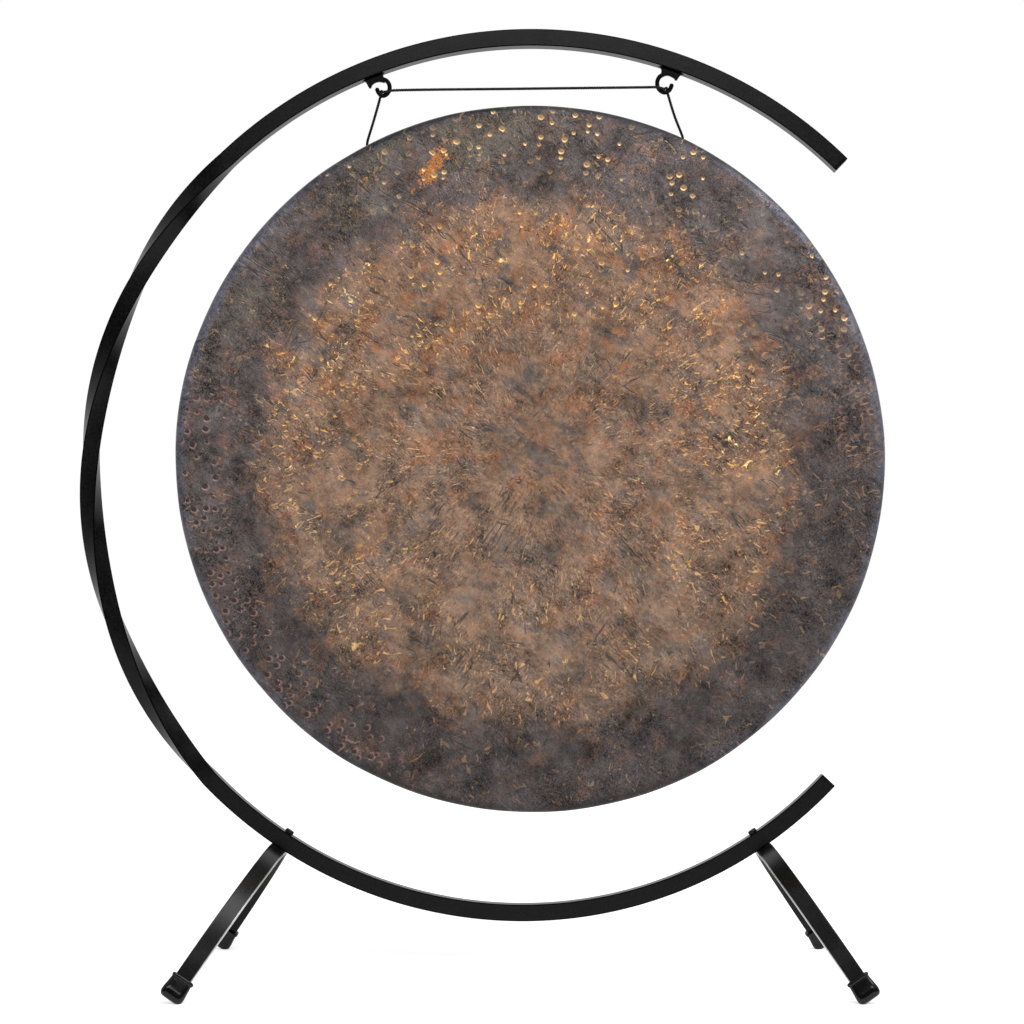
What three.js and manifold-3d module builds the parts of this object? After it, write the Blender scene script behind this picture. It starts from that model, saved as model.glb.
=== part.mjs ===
// Gong stand: a C-shaped frame of square bar, twisted once down its left side,
// on two bolted arched legs, with a gong hung from two hooks on one cord.
// Millimetres, +Z up. A viewer in front of the stand looks along +Y.

import * as THREE from 'three';
import { mergeVertices } from 'three/addons/utils/BufferGeometryUtils.js';
import Module from 'manifold-3d';

const wasm = await Module();
wasm.setup();

// Driving dimensions: the frame

const gongRadius = 406.5;
const gongGap = 89.775;
const barSide = 19.05;
const barEdge = 0.6;
const floorGap = 61.907;

// The frame is bent round the gong, a little tighter down its side and again
// along the bottom.
const sideRadiusDrop = 9.2;
const lowerRadiusDrop = 16.9;
const upperRadius = gongRadius + gongGap + barSide / 2;
const sideRadius = upperRadius - sideRadiusDrop;
const lowerRadius = sideRadius - lowerRadiusDrop;

// Angles are those of the line from an arc's centre out to the bar, counted
// from +X towards +Z.
const upperTipAngle = 45.5;
const upperArcEndAngle = 171.8;
const lowerArcStartAngle = 267.2;
const lowerTipAngle = 316.8;
const twistStartAngle = 131.7;
const twistEndAngle = 220.7;
const twistTurnAngle = 360;
const plainStepAngle = 3;
const twistStepAngle = 2;

// Hooks: a flared root on the bar, a stub, and a rod bent to an open ring

// The two are bent by hand, so each has places of its own, counted from the
// middle of its ring: outward along the bar, and up towards the bar.
const hookAngles = { left: 110.95, right: 71.2 };
const hookDrops = { left: 14.3, right: 15.7 };
const hookRingRadii = { left: 10.1, right: 11 };
const hookRootStarts = { left: -9, right: -16.5 };
const hookStubPlaces = { left: 11.6, right: 9 };
const hookStubRises = { left: 5.7, right: 8.8 };
const hookRootLength = 26;
const hookRootWidth = 6.5;
const hookRootCorner = 0.6;
const hookNeck = 1.8;
const hookRodRadius = 2.25;
const hookStubRadius = 2.2;
const hookSeatGap = 0.45;
const hookNeckShare = 0.97;
const hookShoulderShare = 0.2;

// The rod's bend and the eye's arch, as shares of the ring's radius
const hookRingShares = [
  [-0.5, -0.86], [-0.88, -0.44], [-0.97, 0.08], [-0.76, 0.62], [-0.35, 0.93],
  [0.13, 0.96], [0.43, 0.62], [0.5, 0.22], [0.48, -0.18],
];
const hookOpenShares = { left: 1, right: 1.15 };
const hookEyeShares = {
  left: [
    [0.79, -0.63], [0.55, -0.7], [0.3, -0.72], [0.06, -0.68],
    [-0.17, -0.58], [-0.39, -0.46], [-0.55, -0.3], [-0.79, -0.14],
  ],
  right: [
    [0.49, -0.75], [0.24, -0.79], [0, -0.81], [-0.23, -0.76],
    [-0.42, -0.65], [-0.58, -0.49], [-0.7, -0.3], [-0.87, -0.18],
  ],
};

// Cord

const cordRadius = 1.5;
const cordGap = 0.3;
const knotRadius = 4.4;

// Gong: a flat face with its rim turned back

const gongShiftX = -0.9;
const gongShiftZ = 24.7;
const gongFaceY = -5.5;
const gongWall = 2.5;
const gongCorner = 14;
const gongRimDepth = 45;
const gongRimTaper = 4;
const gongHoleRadius = 2.7;
const gongHoleY = 12;
const gongHoleAngles = { left: 117.5, right: 64.5 };

// Legs: a flat bar bent to an arch, square to the plane of the frame

const legAngles = { left: 236.45, right: 304.2 };
const legLeanAngles = { left: 0.7, right: 0 };
const legWidth = 19.4;
const legThickness = 6;
const legEdge = 0.8;
const legFlatHalf = 15.5;
const legEndLength = 34.6;
const legBendAngle = 73;
const legSeatGap = 0.4;

// Feet: rubber caps pushed over the ends of the legs

const footWall = 2.2;
const footCorner = 3.5;
const footFlareWidth = 1.2;
const footFlareDepth = 2.4;
const footLength = 28;
const footSole = 5;
const footRound = 5;
const footFlat = 1.6;
const footFit = 0.3;

// Leg bolts

const boltRadius = 3;
const boltHole = 3.4;
const boltHeadRadius = 5.75;
const boltHeadHeight = 4;
const boltTail = 3;
const nutRadius = 5.75;
const nutHeight = 5;
const nutEdge = 0.6;
const washerRadius = 6.2;
const washerThickness = 1.6;
const fastenerGap = 0.3;

// How finely round shapes are cut up, and how far cutters run past a surface

const gongSides = 96;
const cordSides = 8;
const rodSides = 10;
const holeSides = 24;
const hexSides = 6;
const knotSides = 12;
const knotRows = 8;
const arcSteps = 6;
const bendSteps = 12;
const hookSteps = 24;
const runSteps = 44;
const hangerSteps = 26;
const overrun = 20;

const radians = THREE.MathUtils.degToRad;

const finish = {
  bar: new THREE.MeshStandardMaterial({ color: 0x18181a, roughness: 0.55, metalness: 0.25 }),
  hook: new THREE.MeshStandardMaterial({ color: 0x141416, roughness: 0.5, metalness: 0.3 }),
  fastener: new THREE.MeshStandardMaterial({ color: 0x1c1c1e, roughness: 0.45, metalness: 0.6 }),
  rubber: new THREE.MeshStandardMaterial({ color: 0x101011, roughness: 0.5, metalness: 0 }),
  cord: new THREE.MeshStandardMaterial({ color: 0x121113, roughness: 0.9, metalness: 0 }),
  gong: new THREE.MeshStandardMaterial({ color: 0x4a3c2c, roughness: 0.4, metalness: 0.85 }),
};

// Solids: joining, cutting and skinning

function bare(geometry) {
  const plain = geometry.clone();
  plain.deleteAttribute('normal');
  plain.deleteAttribute('uv');
  return mergeVertices(plain);
}

function toSolid(geometry) {
  const merged = bare(geometry);
  return new wasm.Manifold(new wasm.Mesh({
    numProp: 3,
    vertProperties: new Float32Array(merged.attributes.position.array),
    triVerts: new Uint32Array(merged.index.array),
  }));
}

function toGeometry(solid) {
  const mesh = solid.getMesh();
  const geometry = new THREE.BufferGeometry();
  geometry.setAttribute('position', new THREE.BufferAttribute(mesh.vertProperties, 3));
  geometry.setIndex(new THREE.BufferAttribute(mesh.triVerts, 1));
  return geometry;
}

function join(...geometries) {
  return toGeometry(geometries.map(toSolid).reduce((whole, next) => whole.add(next)));
}

function cut(geometry, ...cutters) {
  return toGeometry(cutters.map(toSolid).reduce((whole, next) => whole.subtract(next), toSolid(geometry)));
}

// A closed solid through rings of points, all with the same count, each ring
// counted anticlockwise when seen from the side that the rings advance to.
function skin(rings) {
  const count = rings[0].length;
  const points = rings.flat();
  const faces = [];
  for (let i = 0; i + 1 < rings.length; i++) {
    for (let j = 0; j < count; j++) {
      const a = i * count + j;
      const b = i * count + (j + 1) % count;
      faces.push(a, b, b + count, a, b + count, a + count);
    }
  }
  const last = (rings.length - 1) * count;
  for (let j = 1; j + 1 < count; j++) {
    faces.push(0, j + 1, j, last, last + j, last + j + 1);
  }
  const geometry = new THREE.BufferGeometry().setFromPoints(points);
  geometry.setIndex(faces);
  return geometry;
}

// Turned solids about +Z, from a profile of [radius, height] pairs

function turned(profile, sides) {
  const points = profile.map(([radius, height]) => new THREE.Vector2(radius, height));
  return new THREE.LatheGeometry(points, sides).rotateX(Math.PI / 2);
}

function rod(radius, low, high, sides = holeSides) {
  return turned([[0, low], [radius, low], [radius, high], [0, high]], sides);
}

// The frame's centreline: three arcs that meet on a shared normal

function fromAngle(angle, length = 1) {
  const turn = radians(angle);
  return new THREE.Vector3(Math.cos(turn) * length, 0, Math.sin(turn) * length);
}

const sideCentre = fromAngle(upperArcEndAngle, upperRadius - sideRadius);
const lowerCentre = fromAngle(lowerArcStartAngle, sideRadius - lowerRadius).add(sideCentre);

// From the floor up to the upper arc's centre
const frameHeight = floorGap + barSide / 2 + lowerRadius - lowerCentre.z;

function framePoint(angle) {
  if (angle < upperArcEndAngle) {
    return fromAngle(angle, upperRadius);
  }
  if (angle < lowerArcStartAngle) {
    return fromAngle(angle, sideRadius).add(sideCentre);
  }
  return fromAngle(angle, lowerRadius).add(lowerCentre);
}

// A group on the bar: +Z points in towards the gong, +X along the bar.
function onBar(angle) {
  const seat = new THREE.Group();
  const out = fromAngle(angle);
  seat.position.copy(framePoint(angle));
  seat.rotation.y = Math.atan2(-out.x, -out.z);
  return seat;
}

function frameAngles() {
  const angles = [upperTipAngle];
  const runs = [
    [upperTipAngle, twistStartAngle, plainStepAngle],
    [twistStartAngle, twistEndAngle, twistStepAngle],
    [twistEndAngle, lowerTipAngle, plainStepAngle],
  ];
  for (const [start, end, step] of runs) {
    const count = Math.ceil((end - start) / step);
    for (let i = 1; i <= count; i++) {
      angles.push(start + (end - start) * i / count);
    }
  }
  return angles;
}

// The bar's section at one place: a square with its edges taken off, turned by
// the twist, and drawn in all round by the given amount.
function barSection(angle, drawIn) {
  const half = barSide / 2 - drawIn;
  const short = half - barEdge;
  const corners = [
    [half, short], [short, half], [-short, half], [-half, short],
    [-half, -short], [-short, -half], [short, -half], [half, -short],
  ];
  const share = THREE.MathUtils.clamp((angle - twistStartAngle) / (twistEndAngle - twistStartAngle), 0, 1);
  const turn = radians(share * twistTurnAngle);
  const out = fromAngle(angle);
  return corners.map(([u, v]) => {
    const across = u * Math.cos(turn) - v * Math.sin(turn);
    const back = u * Math.sin(turn) + v * Math.cos(turn);
    return framePoint(angle).addScaledVector(out, across).setY(back);
  });
}

function tipSection(angle, side) {
  const along = fromAngle(angle + 90 * side, barEdge);
  return barSection(angle, barEdge).map((point) => point.add(along));
}

function frameBar() {
  const angles = frameAngles();
  const sections = angles.map((angle) => barSection(angle, 0));
  const rings = [
    tipSection(upperTipAngle, -1),
    ...sections,
    tipSection(lowerTipAngle, 1),
  ];
  const holes = Object.values(legAngles).map((angle) => {
    const seat = onBar(angle);
    seat.updateMatrix();
    return rod(boltHole, -barSide, barSide).applyMatrix4(seat.matrix);
  });
  return cut(skin(rings), ...holes);
}

// Hooks. The outline is drawn about the middle of the ring, with +X to the
// open side and +Y away from the bar: the root, the stub, the eye's arch, and
// the neck where the ring starts.

function hookRoot(side, way) {
  const ringRadius = hookRingRadii[side];
  const rootStart = hookRootStarts[side];
  const stubAcross = hookStubPlaces[side];
  const stubRise = hookStubRises[side];
  const seat = hookSeatGap - hookDrops[side];
  const shoulder = seat * (1 - hookShoulderShare);
  const outside = ringRadius + hookRodRadius;
  const neck = Math.max(rootStart + hookNeck, -outside * hookNeckShare);
  const stubOuter = stubAcross + hookStubRadius;
  const outline = new THREE.Shape();
  const at = (x, y) => [way * x, y];
  outline.moveTo(...at(rootStart, seat));
  outline.lineTo(...at(rootStart + hookRootLength, seat));
  outline.quadraticCurveTo(...at(stubOuter, shoulder), ...at(stubOuter, -stubRise));
  for (let i = 1; i <= arcSteps; i++) {
    const turn = Math.PI * i / arcSteps;
    outline.lineTo(...at(
      stubAcross + hookStubRadius * Math.cos(turn), hookStubRadius * Math.sin(turn) - stubRise));
  }
  for (const [x, y] of hookEyeShares[side]) {
    outline.lineTo(...at(x * ringRadius, y * ringRadius));
  }
  outline.lineTo(...at(neck, -Math.sqrt(outside ** 2 - neck ** 2)));
  outline.quadraticCurveTo(...at(neck + hookNeck, shoulder), ...at(rootStart, seat));
  const root = new THREE.ExtrudeGeometry(outline, {
    depth: hookRootWidth - 2 * hookRootCorner,
    curveSegments: arcSteps,
    bevelThickness: hookRootCorner,
    bevelSize: hookRootCorner,
    bevelOffset: -hookRootCorner,
    bevelSegments: 1,
  });
  return root.translate(0, 0, hookRootCorner - hookRootWidth / 2);
}

function hookRing(side, way) {
  const ringRadius = hookRingRadii[side];
  const bend = hookRingShares.map(([across, down]) => {
    const share = across > 0 ? across * hookOpenShares[side] : across;
    return new THREE.Vector3(way * share * ringRadius, down * ringRadius, 0);
  });
  return tube(new THREE.CatmullRomCurve3(bend), hookRodRadius, rodSides, hookSteps);
}

function hook(side) {
  const way = side === 'left' ? 1 : -1;
  return join(hookRoot(side, way), hookRing(side, way))
    .rotateX(Math.PI / 2)
    .translate(0, 0, barSide / 2 + hookDrops[side]);
}

function tube(route, radius, sides, steps) {
  const section = new THREE.Shape();
  section.setFromPoints(Array.from({ length: sides }, (_, i) => {
    const turn = 2 * Math.PI * i / sides;
    return new THREE.Vector2(radius * Math.cos(turn), radius * Math.sin(turn));
  }));
  return new THREE.ExtrudeGeometry(section, { steps, extrudePath: route });
}

// The cord's route: the run from eye to eye, and the two hangers from the hooks
// down through the rim of the gong. Each point is counted from the middle of
// its hook's ring, or from its hole in the rim, in shares of the distance that
// the cord's middle keeps from the middle of the hook's rod.

const cordRunShares = {
  left: [
    [0.248, -0.4, -0.937], [0.728, -0.747, -0.99], [1.582, -1.04, -1.07], [3.022, -1.147, -1.07],
    [5.955, -1.147, -1.043],
  ],
  right: [
    [-0.206, -0.4, -1.236], [-0.713, -0.747, -1.29], [-1.566, -1.04, -1.37],
    [-2.899, -1.147, -1.423], [-5.833, -1.147, -1.45],
  ],
};
const cordWrapShares = {
  left: [
    [-0.045, 0.787, -1.07], [-0.125, 1.133, -1.55], [-0.231, 1.28, -2.217], [-0.765, 1.413, -4.297],
  ],
  right: [
    [0.194, 0.693, -1.53], [0.274, 1.013, -1.956], [0.354, 1.16, -2.49], [0.887, 1.36, -4.356],
  ],
};
const cordDropShares = {
  left: [
    [1.76, -0.987, 6.995], [0.054, -0.16, 1.661], [-0.16, 0, 0.568], [0.027, 0, -0.099],
    [0.214, 0, -0.445],
  ],
  right: [
    [-2.427, -0.987, 7.04], [-0.294, -0.16, 1.866], [0.053, 0, 0.746], [-0.107, 0, -0],
    [-0.241, 0, -0.32],
  ],
};

function cordPlaces(shares, from) {
  return shares.map((share) => (
    new THREE.Vector3(...share).multiplyScalar(hookRodRadius + cordRadius).add(from)));
}

function ringMiddle(side) {
  return fromAngle(hookAngles[side], upperRadius - barSide / 2 - hookDrops[side]);
}

function holeMiddle(side) {
  return fromAngle(gongHoleAngles[side], gongRadius).add(new THREE.Vector3(gongShiftX, gongHoleY, gongShiftZ));
}

function runRoute() {
  const [left, right] = ['left', 'right'].map((side) => cordPlaces(cordRunShares[side], ringMiddle(side)));
  const middle = left.at(-1).clone().lerp(right.at(-1), 0.5);
  return [...left, middle, ...right.reverse()];
}

function hangerRoute(side) {
  return [
    ...cordPlaces(cordWrapShares[side], ringMiddle(side)),
    ...cordPlaces(cordDropShares[side], holeMiddle(side)),
  ];
}

function cordTube(points, steps) {
  return tube(new THREE.CatmullRomCurve3(points), cordRadius, cordSides, steps);
}

// The gong, turned about Y with its face to -Y, and holed through the rim

function arcPoints(centre, radius, start, end) {
  return Array.from({ length: arcSteps + 1 }, (_, i) => {
    const turn = radians(start + (end - start) * i / arcSteps);
    return new THREE.Vector2(centre.x + radius * Math.cos(turn), centre.y + radius * Math.sin(turn));
  });
}

function gong() {
  const bend = new THREE.Vector2(gongRadius - gongCorner, gongCorner);
  const rimBack = gongRadius - gongRimTaper;
  const profile = [
    new THREE.Vector2(0, 0),
    ...arcPoints(bend, gongCorner, -90, 0),
    new THREE.Vector2(rimBack, gongRimDepth),
    new THREE.Vector2(rimBack - gongWall, gongRimDepth),
    ...arcPoints(bend, gongCorner - gongWall, 0, -90),
    new THREE.Vector2(0, gongWall),
  ];
  const disc = new THREE.LatheGeometry(profile, gongSides);
  const holes = Object.values(gongHoleAngles).map((angle) => (
    rod(gongHoleRadius, gongRadius - overrun, gongRadius + overrun)
      .rotateY(radians(90 - angle))
      .translate(0, gongHoleY - gongFaceY, 0)));
  return cut(disc, ...holes);
}

// Legs, about the middle of the leg's top face: +Y across the stand, +Z up to
// the bar, +X along the leg's width. Each half is flat under the bar, then
// bends down, then runs straight to its foot.

function legSide(bendRadius, offset) {
  const bend = radians(legBendAngle);
  const radius = bendRadius + offset;
  const low = -legThickness / 2 - bendRadius;
  const arc = Array.from({ length: bendSteps + 1 }, (_, i) => {
    const turn = bend * i / bendSteps;
    return new THREE.Vector2(legFlatHalf + radius * Math.sin(turn), low + radius * Math.cos(turn));
  });
  const end = new THREE.Vector2(Math.cos(bend), -Math.sin(bend)).multiplyScalar(legEndLength).add(arc.at(-1));
  return [...arc, end];
}

function mirrored(points) {
  return points.map((point) => new THREE.Vector2(-point.x, point.y));
}

function leg(bendRadius) {
  const outer = legSide(bendRadius, legThickness / 2);
  const inner = legSide(bendRadius, -legThickness / 2);
  const outline = [
    ...mirrored(outer).reverse(), ...outer, ...inner.toReversed(), ...mirrored(inner),
  ];
  const blade = new THREE.ExtrudeGeometry(new THREE.Shape(outline), {
    depth: legWidth - 2 * legEdge,
    bevelThickness: legEdge,
    bevelSize: legEdge,
    bevelOffset: -legEdge,
    bevelSegments: 1,
  });
  blade.translate(0, 0, legEdge - legWidth / 2);
  const upright = new THREE.Matrix4().makeBasis(
    new THREE.Vector3(0, 1, 0), new THREE.Vector3(0, 0, 1), new THREE.Vector3(1, 0, 0));
  return cut(blade.applyMatrix4(upright), rod(boltHole, -overrun, overrun));
}

// Feet, about the middle of the leg's end: +Z back up the leg, +X along the
// leg's width, +Y through its thickness.

function footRing(height, halfWidth, halfDepth) {
  const quarters = [[1, 1], [-1, 1], [-1, -1], [1, -1]];
  return quarters.flatMap(([sideX, sideY], quarter) => [0, 1, 2].map((i) => {
    const turn = (quarter + i / 2) * Math.PI / 2;
    return new THREE.Vector3(
      sideX * (halfWidth - footCorner) + footCorner * Math.cos(turn),
      sideY * (halfDepth - footCorner) + footCorner * Math.sin(turn),
      height);
  }));
}

function footBlock() {
  const halfWidth = legWidth / 2 + footWall;
  const halfDepth = legThickness / 2 + footWall;
  const rounded = Array.from({ length: arcSteps + 1 }, (_, i) => {
    const turn = Math.PI / 2 * i / arcSteps;
    const inset = footRound * (1 - Math.sin(turn));
    return footRing(
      footRound * (1 - Math.cos(turn)) - footSole,
      halfWidth + footFlareWidth - inset,
      Math.max(halfDepth + footFlareDepth - inset, footCorner));
  });
  return skin([...rounded, footRing(footLength - footSole, halfWidth, halfDepth)]);
}

function footPocket() {
  const depth = footLength + overrun;
  return new THREE.BoxGeometry(legWidth + 2 * footFit, legThickness + 2 * footFit, depth)
    .translate(0, 0, depth / 2 - footFit);
}

function footPlace(bendRadius, side) {
  const outer = legSide(bendRadius, 0).at(-1);
  const place = new THREE.Group();
  place.position.set(0, side * outer.x, outer.y);
  place.rotation.x = side * radians(90 - legBendAngle);
  return place;
}

// The feet's lowest corners reach footFlat below the floor before they are cut
// level with it, and that sets how wide the leg is bent.
function legBendRadius(legGroup) {
  const place = footPlace(0, 1);
  legGroup.add(place);
  legGroup.parent.updateMatrixWorld();
  const block = footBlock().applyMatrix4(place.matrixWorld);
  block.computeBoundingBox();
  legGroup.remove(place);
  const bend = radians(legBendAngle);
  const growth = new THREE.Vector3(0, Math.sin(bend), Math.cos(bend) - 1)
    .applyQuaternion(legGroup.getWorldQuaternion(new THREE.Quaternion()));
  return -(block.boundingBox.min.z + frameHeight + footFlat) / growth.z;
}

function foot(place) {
  const floor = new THREE.BoxGeometry(2 * frameHeight, 2 * frameHeight, frameHeight)
    .translate(0, 0, -frameHeight - frameHeight / 2)
    .applyMatrix4(place.matrixWorld.clone().invert());
  return cut(footBlock(), footPocket(), floor);
}

// Leg bolts, about the bar's middle: +Z is the way the bolt's head faces.

function bolt() {
  const seat = barSide / 2 + fastenerGap;
  const top = seat + boltHeadHeight;
  const tail = barSide / 2 + legSeatGap + legThickness + washerThickness + nutHeight + 2 * fastenerGap + boltTail;
  const head = turned([
    [0, seat], [boltHeadRadius, seat], [boltHeadRadius, top - nutEdge], [boltHeadRadius - nutEdge, top], [0, top],
  ], hexSides);
  return join(head, rod(boltRadius, -tail, seat + boltHeadHeight / 2));
}

function washer() {
  const top = -barSide / 2 - legSeatGap - legThickness - fastenerGap;
  const bore = boltRadius + fastenerGap;
  const low = top - washerThickness;
  return turned([[bore, low], [washerRadius, low], [washerRadius, top], [bore, top], [bore, low]], holeSides);
}

function nut() {
  const top = -barSide / 2 - legSeatGap - legThickness - washerThickness - 2 * fastenerGap;
  const low = top - nutHeight;
  const body = turned([
    [0, low], [nutRadius - nutEdge, low], [nutRadius, low + nutEdge], [nutRadius, top], [0, top],
  ], hexSides);
  return cut(body, rod(boltRadius + fastenerGap, low - overrun, top + overrun));
}

// A knot sits just inside the rim, on the line of its hole.
function knot(side) {
  const centre = fromAngle(gongHoleAngles[side], gongRadius - gongWall - cordGap - knotRadius);
  return new THREE.SphereGeometry(knotRadius, knotSides, knotRows)
    .translate(centre.x + gongShiftX, gongHoleY, centre.z + gongShiftZ);
}

// The whole stand, placed about the centre of the frame's upper arc

function named(name, geometry, material) {
  const mesh = new THREE.Mesh(geometry, material);
  mesh.name = name;
  return mesh;
}

const stand = new THREE.Group();
stand.add(named('c_frame', frameBar(), finish.bar));

for (const [side, angle] of Object.entries(hookAngles)) {
  const seat = onBar(angle);
  seat.add(named(`hook_${side}`, hook(side), finish.hook));
  stand.add(seat);
}

for (const [side, angle] of Object.entries(legAngles)) {
  const seat = onBar(angle);
  const legGroup = new THREE.Group();
  legGroup.position.z = -barSide / 2 - legSeatGap;
  legGroup.rotation.y = radians(legLeanAngles[side]);
  seat.add(legGroup);
  stand.add(seat);
  const bendRadius = legBendRadius(legGroup);
  legGroup.add(named(`leg_${side}`, leg(bendRadius), finish.bar));
  for (const [end, way] of [['front', -1], ['back', 1]]) {
    const place = footPlace(bendRadius, way);
    legGroup.add(place);
    seat.updateMatrixWorld();
    place.add(named(`foot_${side}_${end}`, foot(place), finish.rubber));
  }
  seat.add(named(`leg_bolt_${side}`, bolt(), finish.fastener));
  seat.add(named(`leg_washer_${side}`, washer(), finish.fastener));
  seat.add(named(`leg_nut_${side}`, nut(), finish.fastener));
}

const gongMesh = named('gong', gong(), finish.gong);
gongMesh.position.set(gongShiftX, gongFaceY, gongShiftZ);
stand.add(gongMesh);
stand.add(named('cord_cross_run', cordTube(runRoute(), runSteps), finish.cord));
for (const side of ['left', 'right']) {
  stand.add(named(`cord_${side}`, cordTube(hangerRoute(side), hangerSteps), finish.cord));
  stand.add(named(`knot_${side}`, knot(side), finish.cord));
}

// The origin is on the floor, under the middle of the stand.
const reach = new THREE.Box3().setFromObject(stand, true);
stand.position.set(-(reach.min.x + reach.max.x) / 2, 0, frameHeight);

const gongStand = new THREE.Group();
gongStand.add(stand);

export default gongStand;
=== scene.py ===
# %% [markdown]
# The gong stand: a lesson in cells.
# The stand is an open ring of square bar on two arched legs, and a hand-hammered
# gong hangs in it from two hooks on one cord. The solids come packed in metres,
# so every surface below is worked out in that frame and needs no fitting. Each
# new shape is a function of two parameters on a grid, and each finish is a small
# network of nodes written as sums.

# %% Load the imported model
import math

import bpy
import numpy as np
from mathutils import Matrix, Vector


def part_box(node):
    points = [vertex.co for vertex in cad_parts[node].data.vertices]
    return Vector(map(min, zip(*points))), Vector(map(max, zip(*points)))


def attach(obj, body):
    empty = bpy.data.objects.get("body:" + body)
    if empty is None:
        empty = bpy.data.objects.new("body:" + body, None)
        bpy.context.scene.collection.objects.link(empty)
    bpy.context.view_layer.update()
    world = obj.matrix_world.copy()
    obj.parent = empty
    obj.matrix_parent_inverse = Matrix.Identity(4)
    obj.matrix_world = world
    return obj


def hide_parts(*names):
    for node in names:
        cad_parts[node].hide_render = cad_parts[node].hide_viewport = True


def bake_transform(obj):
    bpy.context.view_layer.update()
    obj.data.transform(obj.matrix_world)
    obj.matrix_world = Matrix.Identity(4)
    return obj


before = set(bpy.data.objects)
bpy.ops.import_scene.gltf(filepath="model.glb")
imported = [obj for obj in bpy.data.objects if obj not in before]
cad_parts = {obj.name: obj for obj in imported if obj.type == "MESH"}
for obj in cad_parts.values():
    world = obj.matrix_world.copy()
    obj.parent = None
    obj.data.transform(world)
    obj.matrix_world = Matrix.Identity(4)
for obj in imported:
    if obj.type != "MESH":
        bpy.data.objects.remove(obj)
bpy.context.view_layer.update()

# %% [markdown]
# The camera comes first. The bar's inner faces and the spread of the feet say
# how far away it stood: close to 2.8 metres, level, a little below the gong's
# middle. The picture was cut from a wider one, so the lens is shifted rather
# than tilted, which keeps uprights upright.

# %% The camera
MM = 0.001


def add_camera():
    lens = bpy.data.cameras.new("camera")
    lens.lens = 84.87
    lens.sensor_width = 36
    lens.shift_x = -0.0186
    lens.shift_y = 0.084
    camera = bpy.data.objects.new("camera", lens)
    camera.location = (0.0556, -2.768, 0.4315)
    camera.rotation_euler = (math.pi / 2, 0, 0)
    bpy.context.scene.collection.objects.link(camera)
    bpy.context.scene.camera = camera
    return camera


camera = add_camera()
print("camera at", tuple(round(v, 3) for v in camera.location))

# %% [markdown]
# Every shape here is a stack of rings: a bar is a square carried along a curve,
# a cord is a circle carried along its route, and a gong is a circle that grows.
# So one function turns rings of points into a closed mesh. It joins neighbouring
# rings with four-sided faces, closes both ends with a fan to their middle, and
# turns every face round if the volume inside comes out negative, so that faces
# always point outwards.

# %% Rings of points into a closed surface
SHARP = 40  # degrees between faces, above which the edge between them stays sharp


def ring_faces(count, sides):
    """Quads between ring i and ring i + 1, then a fan at each end."""
    j = np.arange(sides)
    k = (j + 1) % sides
    row = np.arange(count - 1)[:, None] * sides
    quads = np.stack([row + j, row + k, row + k + sides, row + j + sides], -1).reshape(-1, 4)
    last = (count - 1) * sides
    start = np.stack([np.full(sides, count * sides), k, j], -1)
    end = np.stack([np.full(sides, count * sides + 1), last + j, last + k], -1)
    return quads, np.concatenate([start, end])


def volume_inside(points, quads, fans):
    """A sixth of the sum of the three corners' triple product over all triangles."""
    triangles = np.concatenate([quads[:, [0, 1, 2]], quads[:, [0, 2, 3]], fans])
    a, b, c = (points[triangles[:, i]] for i in range(3))
    return float(np.einsum("ij,ij->i", a, np.cross(b, c)).sum() / 6)


def skin(name, rings, sharp=SHARP):
    """A closed mesh object through rings of shape (count, sides, 3), in metres."""
    rings = np.asarray(rings, float)
    count, sides = rings.shape[:2]
    points = np.concatenate([rings.reshape(-1, 3), rings[[0, -1]].mean(axis=1)])
    quads, fans = ring_faces(count, sides)
    if volume_inside(points, quads, fans) < 0:
        quads, fans = quads[:, ::-1], fans[:, ::-1]
    mesh = bpy.data.meshes.new(name)
    mesh.from_pydata(points.tolist(), [], quads.tolist() + fans.tolist())
    mesh.shade_smooth()
    mesh.set_sharp_from_angle(angle=math.radians(sharp))
    piece = bpy.data.objects.new(name, mesh)
    bpy.context.scene.collection.objects.link(piece)
    print(name, len(quads) * 2 + len(fans), "triangles")
    return piece


def together(name, *pieces):
    """Several closed surfaces as one object."""
    meshes = [piece.data for piece in pieces]
    sizes = np.cumsum([0] + [len(mesh.vertices) for mesh in meshes])
    points, faces = [], []
    for mesh, shift in zip(meshes, sizes):
        flat = np.empty(len(mesh.vertices) * 3)
        mesh.vertices.foreach_get("co", flat)
        points.append(flat.reshape(-1, 3))
        faces += [[v + int(shift) for v in face.vertices] for face in mesh.polygons]
    whole = bpy.data.meshes.new(name)
    whole.from_pydata(np.concatenate(points).tolist(), [], faces)
    whole.shade_smooth()
    whole.set_sharp_from_angle(angle=math.radians(SHARP))
    for piece in pieces:
        bpy.data.objects.remove(piece)
    joined = bpy.data.objects.new(name, whole)
    bpy.context.scene.collection.objects.link(joined)
    return joined


def unit(vectors):
    return vectors / np.linalg.norm(vectors, axis=-1, keepdims=True)


def carried(middles, across, upward, profile):
    """Rings of a profile carried along a path: the path's point, plus the
    profile's first number times `across`, plus its second times `upward`."""
    profile = np.broadcast_to(profile, (len(middles),) + np.shape(profile)[-2:])
    return middles[:, None] + profile[..., :1] * across[:, None] + profile[..., 1:] * upward[:, None]


def steps_along(line):
    """The distance along a line of points, from 0 at the first."""
    return np.concatenate([[0], np.cumsum(np.linalg.norm(np.diff(line, axis=0), axis=1))])

# %% [markdown]
# The cord is three black strands laid round each other, 3 mm across. A smooth
# tube would look like wire, so each strand is its own tube that circles the
# cord's middle line once every few millimetres. The middle line is a smooth
# curve through the same points as the solid's, from eye to eye and from each
# hook to the gong.

# %% The routes of the cord
ARC_MIDDLE = np.array([56.004, 0, 566.7])  # the middle of the ring's upper arc
POINTS_PER_SPAN = 40


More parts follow.
